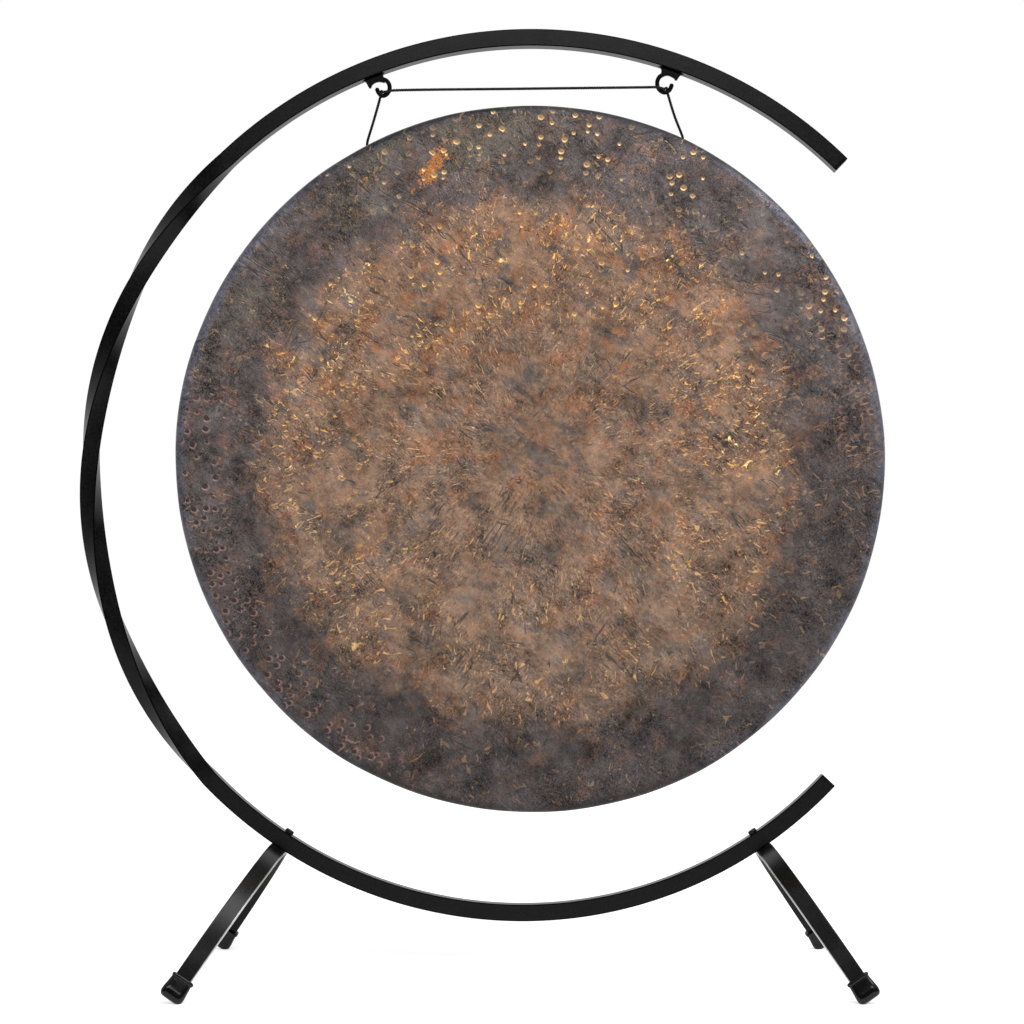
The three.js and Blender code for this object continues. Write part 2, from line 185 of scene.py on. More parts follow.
def curve_through(points, step):
    """A centripetal Catmull-Rom curve: between two points it is the blend of the
    lines through four neighbours, weighted by the square root of their distance."""
    points = np.asarray(points, float)
    points = np.concatenate([[2 * points[0] - points[1]], points, [2 * points[-1] - points[-2]]])
    knots = np.concatenate([[0], np.cumsum(np.linalg.norm(np.diff(points, axis=0), axis=1) ** 0.5)])
    fine = np.linspace(knots[1], knots[-2], 1 + POINTS_PER_SPAN * (len(points) - 3))
    i = np.clip(np.searchsorted(knots, fine, side="right") - 1, 1, len(points) - 3)
    p = [points[i + shift] for shift in (-1, 0, 1, 2)]
    k = [knots[i + shift] for shift in (-1, 0, 1, 2)]

    def between(a, b, ka, kb):
        share = ((fine - ka) / (kb - ka))[:, None]
        return a * (1 - share) + b * share

    a = [between(p[n], p[n + 1], k[n], k[n + 1]) for n in range(3)]
    b = [between(a[n], a[n + 1], k[n], k[n + 2]) for n in range(2)]
    line = between(b[0], b[1], k[1], k[2])
    along = steps_along(line)
    even = np.linspace(0, along[-1], 1 + int(math.ceil(along[-1] / step)))
    return np.stack([np.interp(even, along, line[:, axis]) for axis in range(3)], -1)


CORD_POINTS = {
    # places from the middle of the ring's upper arc, in millimetres
    "cord_cross_run": [
        (-171.4, -1.5, 445.4), (-169.6, -2.8, 444.4), (-166.4, -3.9, 444.6), (-161, -4.3, 445.6),
        (-150, -4.3, 446.2), (-8.5, -4.3, 447.85), (133, -4.3, 449.5), (144, -4.3, 449.6),
        (149, -3.9, 448.6), (152.2, -2.8, 447.9), (154.1, -1.5, 449.1),
    ],
    "cord_left": [
        (-172.5, 2.95, 446.1), (-172.8, 4.25, 444.3), (-173.2, 4.8, 441.8), (-175.2, 5.3, 434),
        (-182, 8.3, 411.5), (-188.4, 11.4, 391.5), (-189.2, 12, 387.4), (-188.5, 12, 384.9),
        (-187.8, 12, 383.6),
    ],
    "cord_right": [
        (155.6, 2.6, 449.2), (155.9, 3.8, 447.6), (156.2, 4.35, 445.6), (158.2, 5.1, 438.6),
        (165, 8.3, 418), (173, 11.4, 398.6), (174.3, 12, 394.4), (173.7, 12, 391.6),
        (173.2, 12, 390.4),
    ],
}
corners = {name: (np.array(points) + ARC_MIDDLE) * MM for name, points in CORD_POINTS.items()}

# %% Strands laid round a route
CORD = 3 * MM
LAY = 8.5 * MM
CORD_STEP = 0.7 * MM
FULLER = 1.24  # how much a strand swells beyond the space that three stiff ones leave
STRAND_SIDES = 8


def tube(route, radius, sides, sideways):
    """Circles of one radius, or of one radius for each point, square to a route."""
    forward = unit(np.gradient(route, axis=0))
    across = unit(np.cross(forward, sideways))
    upward = np.cross(forward, across)
    turn = np.linspace(0, 2 * np.pi, sides, endpoint=False)
    circle = np.stack([np.cos(turn), np.sin(turn)], -1)
    radius = np.broadcast_to(radius, (len(route),))
    return carried(route, across, upward, circle[None] * radius[:, None, None])


def laid_cord(name, route, sideways, strands=3):
    """Each strand's middle is the route's point plus a fixed radius turned by the
    distance along the route over the lay. The strands press into each other."""
    reach = CORD / 2
    strand = reach / (1 + 1 / math.sin(math.pi / strands))
    forward = unit(np.gradient(route, axis=0))
    across = unit(np.cross(forward, sideways))
    upward = np.cross(forward, across)
    along = steps_along(route)
    pieces = []
    for index in range(strands):
        turn = 2 * np.pi * (along / LAY + index / strands)
        middle = route + (reach - strand) * (
            np.cos(turn)[:, None] * across + np.sin(turn)[:, None] * upward)
        pieces.append(skin(f"{name}_{index}", tube(middle, strand * FULLER, STRAND_SIDES, sideways)))
    return together(name, *pieces)


routes, cords, length = {}, {}, {}


def lay(name, line, sideways):
    """One length of the cord in place of its solid."""
    routes[name] = line
    cords[name] = laid_cord(f"laid_{name}", line, sideways)
    length[name] = float(steps_along(line)[-1])
    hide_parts(name)
    print(name, round(length[name] / MM, 1), "mm")


lay("cord_cross_run", curve_through(corners["cord_cross_run"], CORD_STEP), (0, 0, 1))

# %% [markdown]
# The cord hangs on the gong's side of each hook and is fixed on the other, so
# the hanging lengths start where the run ends, on top of the hook's rod. At the
# lower end each is tied behind the rim in a single knot, drawn tight. A sphere
# would be a bead, so the knot is a closed loop that passes over and under itself
# three times.

# %% The cord's ends on the hooks, and what each length is tied to
BRIDGE_RISE = 0.35 * MM
KNOT_RADIUS = 4.4 * MM
KNOT_ROPE = 0.47 * CORD
THINNED = 6  # one point in six of the even line goes into the curve with the bridge


def bridged(line, start):
    """The line with a short bridge in front: start, then half way, lifted."""
    middle = (start + line[0]) / 2 + np.array([0, 0, BRIDGE_RISE])
    return curve_through(np.concatenate([[start], [middle], line[::THINNED], line[-1:]]), CORD_STEP)


for side, run_end in (("left", 0), ("right", -1)):
    name = f"cord_{side}"
    hanging = curve_through(corners[name], CORD_STEP)
    lay(name, bridged(hanging, routes["cord_cross_run"][run_end]), (1, 0, 0))


def knot(name, centre):
    """A trefoil: across is sin t + 2 sin 2t, up is cos t - 2 cos 2t and depth is
    -1.25 sin 3t, scaled so that the rope's outside just fills the knot's radius."""
    t = np.linspace(0, 2 * np.pi, 121)
    loop = np.stack([np.sin(t) + 2 * np.sin(2 * t), -1.25 * np.sin(3 * t), np.cos(t) - 2 * np.cos(2 * t)], -1)
    line = np.array(centre) + loop * (KNOT_RADIUS - KNOT_ROPE) / 3
    return skin(name, tube(line, KNOT_ROPE, 12, (0.2, 1, 0.1)))


knots = {}
for side in ("left", "right"):
    low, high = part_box(f"knot_{side}")
    knots[side] = knot(f"tied_knot_{side}", (low + high) / 2)
    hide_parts(f"knot_{side}")
    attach(knots[side], "gong")

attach(cords["cord_cross_run"], "frame")
for side in ("left", "right"):
    name = f"cord_{side}"
    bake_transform(cords[name])

# %% [markdown]
# The frame is one square bar, 19 mm on a side, rolled to a ring that is open on
# the right. Down its left side it was clamped hot and given one full turn, which
# shows as narrow bright slivers where a face catches the light. The ring is three
# arcs that meet smoothly. The section is a square with softly rounded edges, and
# a ring of it stands every two millimetres in the twist, and every four or five
# outside.

# %% The bar's section and its line
# Lengths are in millimetres, and angles are degrees from +X towards +Z.
BAR = 19.05
BAR_CORNER, CORNER_STEPS = 0.95, 4
UPPER, SIDE, LOWER = 505.8, 496.6, 479.7  # the radii of the three arcs
ARC_ENDS = (171.8, 267.2)
TIPS = (45.5, 316.8)
TWIST = (133.6, 223.7)
RINGS_BEFORE, RINGS_IN_TWIST, RINGS_AFTER = 170, 420, 190
SAWN_END = ((0.55, 0.6), (0.2, 0.42), (0.05, 0.2))  # how far in, and how far out


def out_of(angle):
    """The direction of an angle in degrees, from +X towards +Z."""
    turn = np.radians(np.atleast_1d(angle).astype(float))
    return np.stack([np.cos(turn), np.zeros_like(turn), np.sin(turn)], -1)


SIDE_MIDDLE = out_of(ARC_ENDS[0])[0] * (UPPER - SIDE)
LOWER_MIDDLE = SIDE_MIDDLE + out_of(ARC_ENDS[1])[0] * (SIDE - LOWER)


def ring_line(angle):
    """The bar's middle line: the arc's middle plus its radius along the angle."""
    angle = np.atleast_1d(angle).astype(float)
    radius = np.select([angle < ARC_ENDS[0], angle < ARC_ENDS[1]], [UPPER, SIDE], LOWER)
    middle = np.where((angle < ARC_ENDS[0])[:, None], 0,
                      np.where((angle < ARC_ENDS[1])[:, None], SIDE_MIDDLE, LOWER_MIDDLE))
    return ARC_MIDDLE + middle + radius[:, None] * out_of(angle)


def rounded_square(wide, deep, corner, steps=CORNER_STEPS):
    """Four quarter circles of the corner's radius, with a point just before and
    after each, so that the flats between them stay flat when shaded."""
    bend = np.linspace(0, np.pi / 2, steps + 1)
    quarter = np.stack([np.cos(bend), np.sin(bend)], -1) * corner
    hold = 0.35 * corner  # how far those two points are from the quarter circle
    quarter = np.concatenate([[[corner, -hold]], quarter, [[-hold, corner]]])
    sections = []
    for turn, (u, v) in enumerate(((1, 1), (-1, 1), (-1, -1), (1, -1))):
        c, s = math.cos(turn * math.pi / 2), math.sin(turn * math.pi / 2)
        spun = quarter @ np.array([[c, s], [-s, c]])
        sections.append(spun + np.array([u * (wide / 2 - corner), v * (deep / 2 - corner)]))
    return np.concatenate(sections)

# %% The twisted ring
def twisted_ring():
    """Each ring of points is the square turned by the twist's share so far, put
    at the line's point. The last rings at each end shrink and step outwards, and
    that rounds the sawn end."""
    angle = np.unique(np.concatenate([
        np.linspace(TIPS[0], TWIST[0], RINGS_BEFORE), np.linspace(TWIST[0], TWIST[1], RINGS_IN_TWIST),
        np.linspace(TWIST[1], TIPS[1], RINGS_AFTER)]))
    share = np.clip((angle - TWIST[0]) / (TWIST[1] - TWIST[0]), 0, 1)
    turn = 2 * np.pi * share
    across = out_of(angle)
    upward = np.broadcast_to(np.array([0.0, 1.0, 0.0]), across.shape)
    section = rounded_square(BAR, BAR, BAR_CORNER)
    cos, sin = np.cos(turn)[:, None], np.sin(turn)[:, None]
    spun = np.stack([
        section[:, 0] * cos - section[:, 1] * sin, section[:, 0] * sin + section[:, 1] * cos], -1)
    rings = carried(ring_line(angle), across, upward, spun)
    ends = []
    for index, step in ((0, -1), (-1, 1)):
        outwards = np.cross(across[index], (0, 1, 0)) * step
        middle = rings[index].mean(axis=0)
        ends.append([
            middle + (rings[index] - middle) * (1 - 2 * inset / BAR) + outwards * lift
            for inset, lift in SAWN_END])
    return np.concatenate([ends[0], rings, ends[1][::-1]]) * MM


def mark_edges(piece, marked=(1, 1, 1, 1)):
    """An attribute that is 1 on the marked rounded edges and 0 elsewhere, so that
    the finish can tell them apart. The edges are counted round the section."""
    section = np.concatenate([
        np.array([0.0] + [1.0] * (CORNER_STEPS + 1) + [0.0]) * share for share in marked])
    rings = (len(piece.data.vertices) - 2) // len(section)
    edge = piece.data.attributes.new("edge", "FLOAT", "POINT")
    edge.data.foreach_set("value", np.concatenate([np.tile(section, rings), [0, 0]]).astype(np.float32))


bar = skin("ring_bar", twisted_ring())
# All four edges are marked for the painted shade along them.
mark_edges(bar)
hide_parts("c_frame")
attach(bar, "frame")
print("bar box", np.array(bar.bound_box).min(0).round(4), np.array(bar.bound_box).max(0).round(4))

# %% [markdown]
# Each leg is a flat bar, bent over a round former and let run straight for its
# last few centimetres. It stands square to the frame and leans with it, so its
# path is drawn in a plane of its own: flat under the ring, down an arc of 73
# degrees, then straight. Black rubber caps are pushed over the ends. They bulge
# near the floor, and have a rolled lip round the leg.

# %% A leg's own plane
LEG_WIDE, LEG_THICK, LEG_CORNER = 19.4, 6.0, 1.3
LEG_FLAT, LEG_BEND, LEG_STRAIGHT, LEG_GAP = 15.5, 73.0, 34.6, 0.4
BEND_RINGS, RUN_RINGS = 60, 8
BACKWARDS = np.array([0.0, 1.0, 0.0])
LEGS = {
    # where on the ring, how far the leg leans from the bar there, and the bend's radius
    "left": (236.45, 0.7, 184.026),
    "right": (304.2, 0, 184.41),
}


def leg_frame(side):
    """The leg's seat, its three directions, which are along its width, across the
    stand and up to the bar, and its bend's radius."""
    angle, lean, radius = LEGS[side]
    seat = ring_line(angle)[0] + (BAR / 2 + LEG_GAP) * out_of(angle)[0]
    wide = out_of(angle + 90 - lean)[0]
    return seat, wide, BACKWARDS, np.cross(wide, BACKWARDS), radius


def leg_path(radius):
    """Distance across and height for one half, from the middle out, with the
    direction square to it: flat, then the arc, then the straight run."""
    bend = np.radians(np.linspace(0, LEG_BEND, BEND_RINGS))
    flat = np.stack([np.linspace(0, LEG_FLAT, RUN_RINGS)[:-1], np.full(RUN_RINGS - 1, -LEG_THICK / 2)], -1)
    arc = np.stack([LEG_FLAT + radius * np.sin(bend), -LEG_THICK / 2 - radius * (1 - np.cos(bend))], -1)
    run = np.linspace(0, LEG_STRAIGHT, RUN_RINGS)[1:, None] * np.array([np.cos(bend[-1]), -np.sin(bend[-1])])
    line = np.concatenate([flat, arc, arc[-1] + run])
    turn = np.concatenate([np.zeros(RUN_RINGS - 1), bend, np.full(RUN_RINGS - 1, bend[-1])])
    return line, np.stack([np.sin(turn), np.cos(turn)], -1)


def leg_bar(side):
    """A rounded flat section at each point of both halves of the path."""
    seat, wide, back, up, radius = leg_frame(side)
    line, square = leg_path(radius)
    flip = np.array([-1, 1])
    line = np.concatenate([(line * flip)[:0:-1], line])
    square = np.concatenate([(square * flip)[:0:-1], square])
    middles = seat + line[:, :1] * back + line[:, 1:] * up
    upward = square[:, :1] * back + square[:, 1:] * up
    across = np.broadcast_to(wide, upward.shape)
    section = rounded_square(LEG_WIDE, LEG_THICK, LEG_CORNER)
    leg = skin(f"arched_leg_{side}", carried(middles, across, upward, section) * MM)
    # One inner edge of each leg is marked for a painted highlight.
    mark_edges(leg, (1, 0, 0, 0) if side == "left" else (0, 1, 0, 0))
    return leg

# %% A rubber cap, from the sole to the lip
CAP_WALL, CAP_CORNER_STEPS, CAP_SHARP = 2.6, 6, 60
FOOT_ROWS = np.array([
    # height, how much wider, how much deeper, corner
    (-5.0, -4.4, -2.0, 3.4), (-4.9, -3.4, -1.6, 3.6), (-4.5, -2.0, -0.7, 4.0), (-3.8, -0.9, 0.3, 4.4),
    (-2.6, 0.1, 1.2, 4.8), (-1.0, 0.8, 1.9, 5.0), (1.0, 1.15, 2.25, 5.1), (3.5, 1.25, 2.4, 5.1),
    (6.5, 1.0, 2.1, 4.9), (10.0, 0.55, 1.5, 4.6), (14.0, 0.15, 0.8, 4.2), (17.0, -0.1, 0.3, 3.8),
    (18.6, -0.25, 0.1, 3.6), (19.0, 0.35, 0.55, 3.8), (19.6, 0.75, 0.95, 4.0), (20.6, 0.95, 1.15, 4.1),
    (21.7, 0.75, 0.95, 4.0), (22.5, 0.25, 0.45, 3.8), (22.9, -0.5, -0.3, 3.5), (23.0, -1.3, -1.0, 3.0),
])


def rubber_foot(side, way):
    """Rounded oblongs stacked up the leg's last run. What would go through the
    floor is pressed flat on it."""
    seat, wide, back, up, radius = leg_frame(side)
    line, square = leg_path(radius)
    end = seat + way * line[-1, 0] * back + line[-1, 1] * up
    deep = way * square[-1, 0] * back + square[-1, 1] * up
    along = np.cross(wide, deep)
    along = along if along @ up > 0 else -along
    half_wide, half_deep = LEG_WIDE / 2 + CAP_WALL, LEG_THICK / 2 + CAP_WALL
    rings = []
    for height, wider, deeper, corner in FOOT_ROWS:
        section = rounded_square(2 * (half_wide + wider), 2 * (half_deep + deeper), corner, CAP_CORNER_STEPS)
        rings.append(end + height * along + section[:, :1] * wide + section[:, 1:] * deep)
    rings = np.stack(rings)
    rings[..., 2] = np.maximum(rings[..., 2], 0)
    return skin(f"rubber_foot_{side}_{'front' if way < 0 else 'back'}", rings * MM, CAP_SHARP)


pieces = {}
for side in ("left", "right"):
    leg = leg_bar(side)
    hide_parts(f"leg_{side}")
    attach(leg, f"leg_{side}")
    pieces[f"leg_{side}"] = leg
    for way in (-1, 1):
        cap = rubber_foot(side, way)
        node = f"foot_{side}_{'front' if way < 0 else 'back'}"
        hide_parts(node)
        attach(cap, f"leg_{side}")
        pieces[node] = cap

# %% [markdown]
# A hook is a rod bent to an open ring, with a saddle that spreads where it is
# welded on. The saddle is a stack of rounded sections along the bar: flush with
# the bar above, and below following the eye of the hook and its short stub. The
# rod is a tube along the bend, and its free end is a half ball.

# %% Hooks
HOOK_DEEP, HOOK_CORNER, ROD = 6.5, 1.5, 2.5
SUNK = 0.6  # how far the saddle reaches into the bar
SADDLE_RINGS, ROD_SIDES, ROD_STEP = 90, 20, 0.5
RING_BEND = np.array([
    (-0.5, -0.86), (-0.88, -0.44), (-0.97, 0.08), (-0.76, 0.62), (-0.35, 0.93), (0.13, 0.96), (0.43, 0.62),
    (0.5, 0.22), (0.48, -0.18),
])
HOOKS = {
    # where on the ring, which way round the hook opens, how far its eye hangs, the
    # eye's radius, how open it is, and the saddle's lower outline
    "left": (110.95, 1, 14.3, 10.1, 1.0, [
        (-9.6, -14.0), (-8.2, -13.3), (-7.2, -11.9), (-6.8, -9.4), (-6.4, -5.2), (-5.56, -3.1),
        (-3.94, -4.65), (-1.7, -5.9), (0.6, -6.9), (3.0, -7.3), (5.6, -7.1), (7.9, -6.4), (9.2, -5.4),
        (10.0, -4.2), (10.8, -3.5), (11.6, -3.3), (12.4, -3.5), (13.2, -4.4), (13.6, -6.2), (13.75, -9.3),
        (14.1, -11.5), (15.3, -13.1), (17.8, -14.1)]),
    "right": (71.2, -1, 15.7, 11.0, 1.15, [
        (-15.4, -15.5), (-12.8, -14.6), (-10.9, -13.1), (-9.9, -11.0), (-9.5, -8.6), (-9.1, -5.4),
        (-7.7, -3.3), (-6.4, -5.4), (-4.6, -7.1), (-2.5, -8.4), (0, -8.9), (2.6, -8.7), (5.4, -8.2),
        (6.9, -7.7), (7.6, -6.9), (8.3, -6.4), (9.0, -6.3), (9.8, -6.6), (10.6, -7.6), (10.95, -9.6),
        (11.4, -11.9), (12.6, -13.8), (15.6, -15.4)]),
}


def hook(side):
    """The saddle and the rod in the hook's own plane: across to the open side,
    and down away from the bar, about the middle of its eye."""
    angle, way, drop, eye_radius, open_share, outline = HOOKS[side]
    across, down = out_of(angle + 90 * way)[0], -out_of(angle)[0]
    middle = ring_line(angle)[0] + (BAR / 2 + drop) * down
    outline = np.array(outline)
    order = np.argsort(outline[:, 0])
    place = np.linspace(outline[:, 0].min(), outline[:, 0].max(), SADDLE_RINGS)
    below = np.interp(place, outline[order, 0], outline[order, 1])
    below = np.convolve(np.pad(below, 1, "edge"), (0.25, 0.5, 0.25), "valid")
    above = -drop - SUNK
    rings = []
    for x, y in zip(place, below):
        high = max(y - above, 0.5)
        section = rounded_square(high, HOOK_DEEP, min(HOOK_CORNER, 0.49 * high))
        rings.append(middle + x * across + ((y + above) / 2 + section[:, :1]) * down
                     + section[:, 1:] * BACKWARDS)
    saddle = skin(f"saddle_{side}", np.stack(rings) * MM)
    bend = RING_BEND * eye_radius * np.where(RING_BEND > 0, (open_share, 1), 1)
    line = curve_through(np.column_stack([bend[:, 0], np.zeros(len(bend)), bend[:, 1]]), ROD_STEP)
    along = steps_along(line)
    to_end = along[-1] - along
    radius = ROD * np.sqrt(np.clip(1 - np.clip(1 - to_end / ROD, 0, 1) ** 2, 0.004, 1))
    line = middle + line[:, :1] * across + line[:, 2:] * down
    rod = skin(f"rod_{side}", tube(line, radius, ROD_SIDES, (0, 1, 0)) * MM)
    return together(f"welded_hook_{side}", saddle, rod)


for side in ("left", "right"):
    piece = hook(side)
    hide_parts(f"hook_{side}")
    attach(piece, "frame")
    pieces[f"hook_{side}"] = piece

# %% [markdown]
# One bolt holds each leg. Its head is a low hexagon with its corners turned off,
# on the inner face of the ring. Going down the bolt, its outline is a hexagon at
# the head and a circle everywhere else, so the radius is a mix of the two at
# each height. The nut and the washer under the leg stay as the solids have
# them, because flat faces and sharp edges are right for those.

# %% Bolts
HEAD_GAP, WASHER, NUT, PAST_NUT = 0.3, 1.6, 5, 3.6
BOLT_SIDES, BOLT_SHARP = 72, 28


def hexagon(turn, flat):
    """The distance to a hexagon's edge: half the flats over the cosine of the
    angle from the nearest flat's middle."""
    near = (turn + np.pi / 6) % (np.pi / 3) - np.pi / 6
    return flat / np.cos(near)


def leg_bolt(side, angle):
    """Rings round the bolt, each a share of hexagon and a share of circle. The
    bolt crosses the bar's middle line, and its head is inside the ring."""
    middle, up = ring_line(angle)[0], -out_of(angle)[0]
    seat = BAR / 2 + HEAD_GAP
    tail = -(BAR / 2 + LEG_GAP + LEG_THICK + WASHER + NUT + PAST_NUT)
    # height, radius to the corners, and share of hexagon
    rows = [
        (tail, 2.4, 0), (tail + 0.6, 3.0, 0), (seat, 3.0, 0),
        (seat, 5.2, 1), (seat + 0.35, 5.75, 1), (seat + 2.6, 5.75, 1),
        (seat + 3.2, 5.45, 0.9), (seat + 3.6, 5.0, 0.6), (seat + 3.9, 4.2, 0.2), (seat + 4.0, 3.4, 0),
    ]
    turn = np.linspace(0, 2 * np.pi, BOLT_SIDES, endpoint=False)
    across = np.cross(BACKWARDS, up)
    rings = []
    for height, radius, share in rows:
        shape = share * hexagon(turn, radius * math.cos(math.pi / 6)) + (1 - share) * radius
        rings.append(middle + height * up + shape[:, None] * (
            np.cos(turn)[:, None] * across + np.sin(turn)[:, None] * BACKWARDS))
    return skin(f"bolt_{side}", np.stack(rings) * MM, BOLT_SHARP)


for side, (angle, _, _) in LEGS.items():
    bolt = leg_bolt(side, angle)
    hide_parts(f"leg_bolt_{side}")
    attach(bolt, "frame")
    pieces[f"leg_bolt_{side}"] = bolt

# %% [markdown]
# The gong is a disc of hammered bronze with its rim turned back. Hammering leaves
# three sizes of mark: a slow unevenness as wide as a hand, dents as wide as a
# thumb, and a fine texture. The first two are moved points here, so that they
# also show in the outline and on the back, and the fine one is left to the
# finish. The sheet is thin, so a dent moves both faces alike.

# %% The hammered disc
GONG_RADIUS, GONG_FACE, WALL, CORNER = 406.5, -5.5, 2.5, 11.0
RIM_DEPTH, TAPER, LIP_UP, LIP_IN = 45.0, 4.0, 0.6, 0.4
GONG_MIDDLE = ARC_MIDDLE + np.array([-0.9, 0, 24.7])
GONG_SIDES, GONG_SHARP = 432, 60
FACE_ROWS, BEND_ROWS, RIM_ROWS, INNER_ROWS, BACK_ROWS = 105, 9, 11, 9, 77
FRONT_ROWS = FACE_ROWS + 7  # the rows that were hammered: the face and most of the bend
HUB = 1.5
WAVES = (  # how many waves go round, how high they are, and where the first one is
    (2, 0.7, -28), (3, 0.6, 165), (4, 0.35, -137), (6, 0.3, -33), (11, 0.16, 50), (17, 0.13, 10),
    (29, 0.1, 80))
FULLNESS = 0.4
HAND, THUMB = (30, 55), (6, 12)
DEEPEST, CALM_EDGE = 3.2, 30


def gong_profile():
    """Radius and depth from the middle of the face, round the rim, to the middle
    of the back. The rim draws in a little towards its edge."""
    angle = np.radians(np.linspace(-90, 0, BEND_ROWS))
    bend = np.stack([np.cos(angle), np.sin(angle)], -1)
    bend_middle = np.array([GONG_RADIUS - CORNER, CORNER])
    edge, inside = GONG_RADIUS - TAPER, GONG_RADIUS - TAPER - WALL

    def row(start, end, count):
        return np.linspace(start, end, count + 1)

    return np.concatenate([
        row((HUB, 0), (GONG_RADIUS - CORNER, 0), FACE_ROWS)[:-1],
        bend_middle + CORNER * bend,
        row((GONG_RADIUS, CORNER), (edge, RIM_DEPTH - LIP_UP), RIM_ROWS)[1:],
        [(edge - LIP_IN, RIM_DEPTH), (inside + LIP_IN, RIM_DEPTH), (inside, RIM_DEPTH - LIP_UP)],
        row((inside, RIM_DEPTH - 2), (inside + TAPER, CORNER + 1), INNER_ROWS - 1),
        (bend_middle + (CORNER - WALL) * bend)[::-1],
        row((GONG_RADIUS - CORNER, WALL), (HUB, WALL), BACK_ROWS)[1:],
    ])


def dents(across, up, count, reach, depth, seed):
    """The sum of many round hollows, each the depth times a bell curve of the
    distance from its middle. One step for each hollow, over all points at once."""
    rng = np.random.default_rng(seed)
    radius = GONG_RADIUS * np.sqrt(rng.uniform(0, 1, count))
    angle = rng.uniform(0, 2 * np.pi, count)
    sizes = rng.uniform(*reach, count)
    depths = rng.uniform(*depth, count) * rng.choice([-1, 1], count, p=[0.3, 0.7])
    total = np.zeros_like(across)
    for x, z, size, deep in zip(radius * np.cos(angle), radius * np.sin(angle), sizes, depths):
        total += deep * np.exp(-((across - x) ** 2 + (up - z) ** 2) / (2 * size ** 2))
    return total


def hammered_disc():
    """The profile turned round, its outline a little out of round by a few waves,
    and every point pushed back by the dents under it."""
    profile = gong_profile()
    turn = np.linspace(0, 2 * np.pi, GONG_SIDES, endpoint=False)
    waves = sum(size * np.cos(count * turn - math.radians(phase)) for count, size, phase in WAVES)
    radius = profile[:, :1] + (waves + FULLNESS) * (profile[:, :1] / GONG_RADIUS) ** 4
    across, up = radius * np.cos(turn), radius * np.sin(turn)
    slow = dents(across, up, 90, HAND, (0.15, 0.5), 5)
    quick = dents(across, up, 420, THUMB, (0.12, 0.42), 11)
    share = np.clip((GONG_RADIUS - radius) / CALM_EDGE, 0, 1)
    depth = GONG_FACE + profile[:, 1:] + np.minimum(slow + quick, DEEPEST) * share
    return np.stack([across, depth, up], -1)


def mark_front(piece):
    """An attribute that is 1 on the face that was hammered, and 0 on the rim's
    side and the back."""
    rows = (len(piece.data.vertices) - 2) // GONG_SIDES
    values = np.concatenate([np.repeat(np.arange(rows) < FRONT_ROWS, GONG_SIDES), [1, 0]])
    attribute = piece.data.attributes.new("front", "FLOAT", "POINT")
    attribute.data.foreach_set("value", values.astype(np.float32))


disc = skin("hammered_gong", (hammered_disc() + GONG_MIDDLE) * MM, GONG_SHARP)
mark_front(disc)
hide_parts("gong")
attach(disc, "gong")
print("gong points", len(disc.data.vertices))

# %% [markdown]
# Finishes are sums of masks. To write them as sums, a node's output is wrapped
# in a small class whose operators add Math nodes, and every other node comes
# from one method. The masks then read as plain arithmetic: a speck is a noise
# above a limit, times the zone where specks are found.

# %% Sums that become nodes
class Value:
    """A node's output that takes part in sums."""

    def __init__(self, finish, socket):
        self.finish, self.socket = finish, socket

    def math(self, operation, *others, swap=False):
        values = [*others, self] if swap else [self, *others]
        return self.finish.add("ShaderNodeMath", {"operation": operation}, dict(enumerate(values)))

    def __add__(self, other):
        return self.math("ADD", other)

    __radd__ = __add__

    def __mul__(self, other):
        return self.math("MULTIPLY", other)

    __rmul__ = __mul__

    def __sub__(self, other):
        return self.math("SUBTRACT", other)

    def __rsub__(self, other):
        return self.math("SUBTRACT", other, swap=True)

    def beside(self, name):
        """Another output of the same node."""
        return Value(self.finish, self.socket.node.outputs[name])

    def between(self, low, high):
        """0 below low, 1 above high, and smooth in between. Low may be the larger."""
        return self.finish.add("ShaderNodeMapRange", {"interpolation_type": "SMOOTHSTEP"},
                               {"Value": self, "From Min": low, "From Max": high})


class Nodes:
    """A tree of nodes in the making."""

    def __init__(self, tree):
        self.tree = tree

    def join(self, node, inputs):
        for key, value in inputs.items():
            if isinstance(value, Value):
                self.tree.links.new(value.socket, node.inputs[key])
            else:
                node.inputs[key].default_value = value

    def add(self, kind, settings=None, inputs=None, out=0):
        """One node: its kind, its settings, then its sockets' values or links."""
        node = self.tree.nodes.new(kind)
        for key, value in (settings or {}).items():
            setattr(node, key, value)
        self.join(node, inputs or {})
        return Value(self, node.outputs[out])


